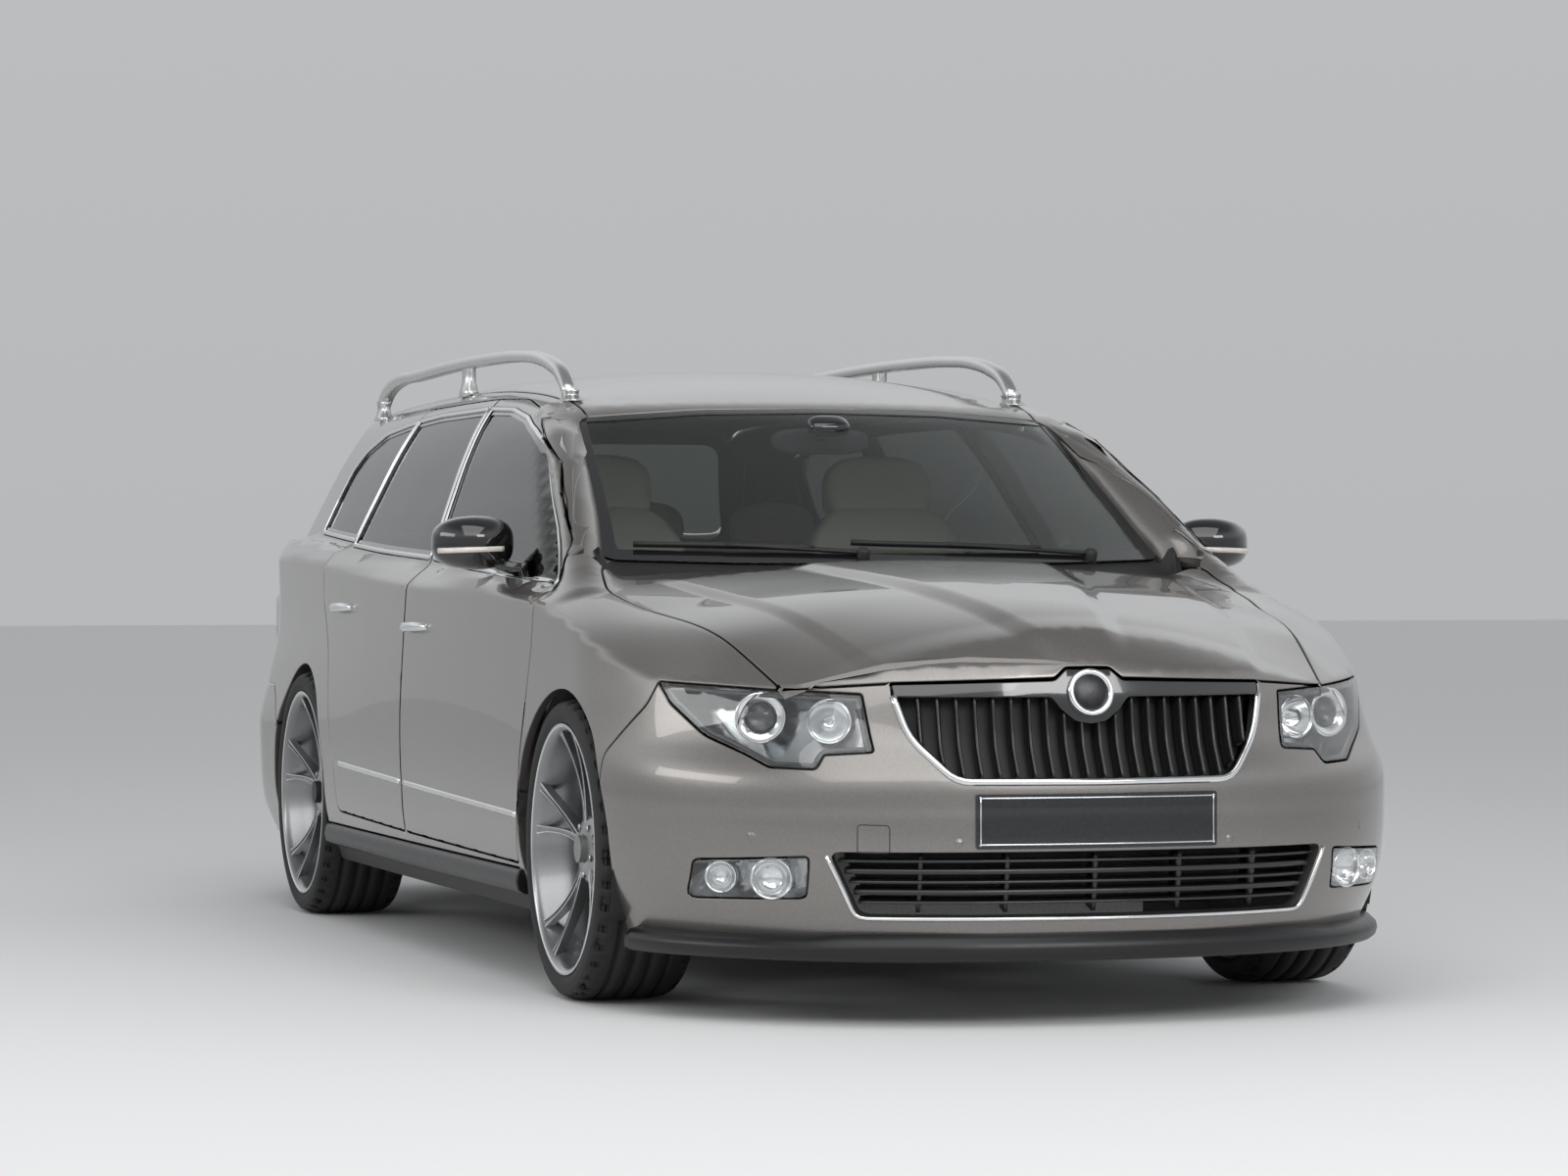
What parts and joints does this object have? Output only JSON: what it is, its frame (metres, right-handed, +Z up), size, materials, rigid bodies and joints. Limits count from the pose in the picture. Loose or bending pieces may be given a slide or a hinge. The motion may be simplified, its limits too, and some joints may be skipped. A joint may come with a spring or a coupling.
{
  "type": "station wagon",
  "caption": "Station wagon with opening doors, bonnet and tailgate, free-turning wheels, steered front wheels, roof rails and a furnished cabin",
  "frame": {"origin": "on the ground under the middle of the car's length and width", "axes": "+X to the front of the car, +Y to its left, +Z up"},
  "size_m": [4.842, 2.016, 1.476],
  "materials": {
    "paint": "metallic silver-grey, clear coated",
    "structure": "matt",
    "liner": "matt",
    "black_gloss": "gloss",
    "black_matt": "matt",
    "grille_trim": "polished",
    "clear_glass": "clear",
    "dark_glass": "dark tinted",
    "lamp_clear": "clear lens",
    "lamp_red": "red lens",
    "satin_alloy": "satin",
    "tyre": "matt",
    "alloy": "machined and grey painted",
    "iron": "as cast",
    "steel": "dull",
    "leather": "matt",
    "plate": "blank"
  },
  "bodies": {
    "car_body": {"body_sides": "paint", "roof_panel": "paint", "front_fenders": "paint", "front_bumper": "paint", "rear_bumper": "paint", "floor_pan": "structure", "bulkhead": "structure", "wheel_liners": "liner", "front_lip": "black_gloss", "grille": "grille_trim", "lower_grille": "black_matt", "dashboard": "black_matt", "steering_wheel": "black_matt", "windscreen": "clear_glass", "quarter_glass": "dark_glass", "headlamps": "lamp_clear", "fog_lamps": "lamp_clear", "tail_lamps": "lamp_red", "roof_rails": "satin_alloy", "front_subframe": "iron", "rear_axle": "iron", "engine_block": "iron", "exhaust": "steel", "front_seats": "leather", "rear_bench": "leather", "number_plate": "plate"},
    "front_door_body_left": {"front_door_left": "paint", "front_door_glass_left": "dark_glass", "mirror_left": "black_gloss"},
    "rear_door_body_left": {"rear_door_left": "paint", "rear_door_glass_left": "dark_glass"},
    "front_door_body_right": {"front_door_right": "paint", "front_door_glass_right": "dark_glass", "mirror_right": "black_gloss"},
    "rear_door_body_right": {"rear_door_right": "paint", "rear_door_glass_right": "dark_glass"},
    "bonnet_body": {"bonnet": "paint"},
    "tailgate_body": {"tailgate": "paint", "tailgate_glass": "dark_glass"},
    "steered_left": {"knuckle_left": "iron"},
    "steered_right": {"knuckle_right": "iron"},
    "wheel_front_left": {"tyre_front_left": "tyre", "rim_front_left": "alloy"},
    "wheel_front_right": {"tyre_front_right": "tyre", "rim_front_right": "alloy"},
    "wheel_rear_left": {"tyre_rear_left": "tyre", "rim_rear_left": "alloy"},
    "wheel_rear_right": {"tyre_rear_right": "tyre", "rim_rear_right": "alloy"}
  },
  "joints": [
    {"name": "front_left_door_hinge", "type": "hinge", "parent": "car_body", "child": "front_door_body_left", "pos_m": [1.212, 0.905, 0.58], "axis": [0, 0, -1], "range_deg": [0, 65]},
    {"name": "front_right_door_hinge", "type": "hinge", "parent": "car_body", "child": "front_door_body_right", "pos_m": [1.212, -0.905, 0.58], "axis": [0, 0, 1], "range_deg": [0, 65]},
    {"name": "rear_left_door_hinge", "type": "hinge", "parent": "car_body", "child": "rear_door_body_left", "pos_m": [-0.002, 0.909, 0.58], "axis": [0, 0, -1], "range_deg": [0, 65]},
    {"name": "rear_right_door_hinge", "type": "hinge", "parent": "car_body", "child": "rear_door_body_right", "pos_m": [-0.002, -0.909, 0.58], "axis": [0, 0, 1], "range_deg": [0, 65]},
    {"name": "bonnet_hinge", "type": "hinge", "parent": "car_body", "child": "bonnet_body", "pos_m": [1.14, 0, 0.93], "axis": [0, -1, 0], "range_deg": [0, 50]},
    {"name": "tailgate_hinge", "type": "hinge", "parent": "car_body", "child": "tailgate_body", "pos_m": [-1.995, 0, 1.385], "axis": [0, 1, 0], "range_deg": [0, 78]},
    {"name": "steering_left", "type": "hinge", "parent": "car_body", "child": "steered_left", "pos_m": [1.479, 0.7725, 0.326], "axis": [0, 0, 1], "range_deg": [-30, 30]},
    {"name": "steering_right", "type": "hinge", "parent": "car_body", "child": "steered_right", "pos_m": [1.479, -0.7725, 0.326], "axis": [0, 0, 1], "range_deg": [-30, 30]},
    {"name": "spin_front_left", "type": "hinge", "parent": "steered_left", "child": "wheel_front_left", "pos_m": [1.479, 0.7725, 0.326], "axis": [0, 1, 0], "continuous": true},
    {"name": "spin_front_right", "type": "hinge", "parent": "steered_right", "child": "wheel_front_right", "pos_m": [1.479, -0.7725, 0.326], "axis": [0, 1, 0], "continuous": true},
    {"name": "spin_rear_left", "type": "hinge", "parent": "car_body", "child": "wheel_rear_left", "pos_m": [-1.282, 0.7725, 0.326], "axis": [0, 1, 0], "continuous": true},
    {"name": "spin_rear_right", "type": "hinge", "parent": "car_body", "child": "wheel_rear_right", "pos_m": [-1.282, -0.7725, 0.326], "axis": [0, 1, 0], "continuous": true}
  ],
  "couplings": [
    {"joint": "steering_right", "follows": "steering_left", "ratio": 1}
  ]
}
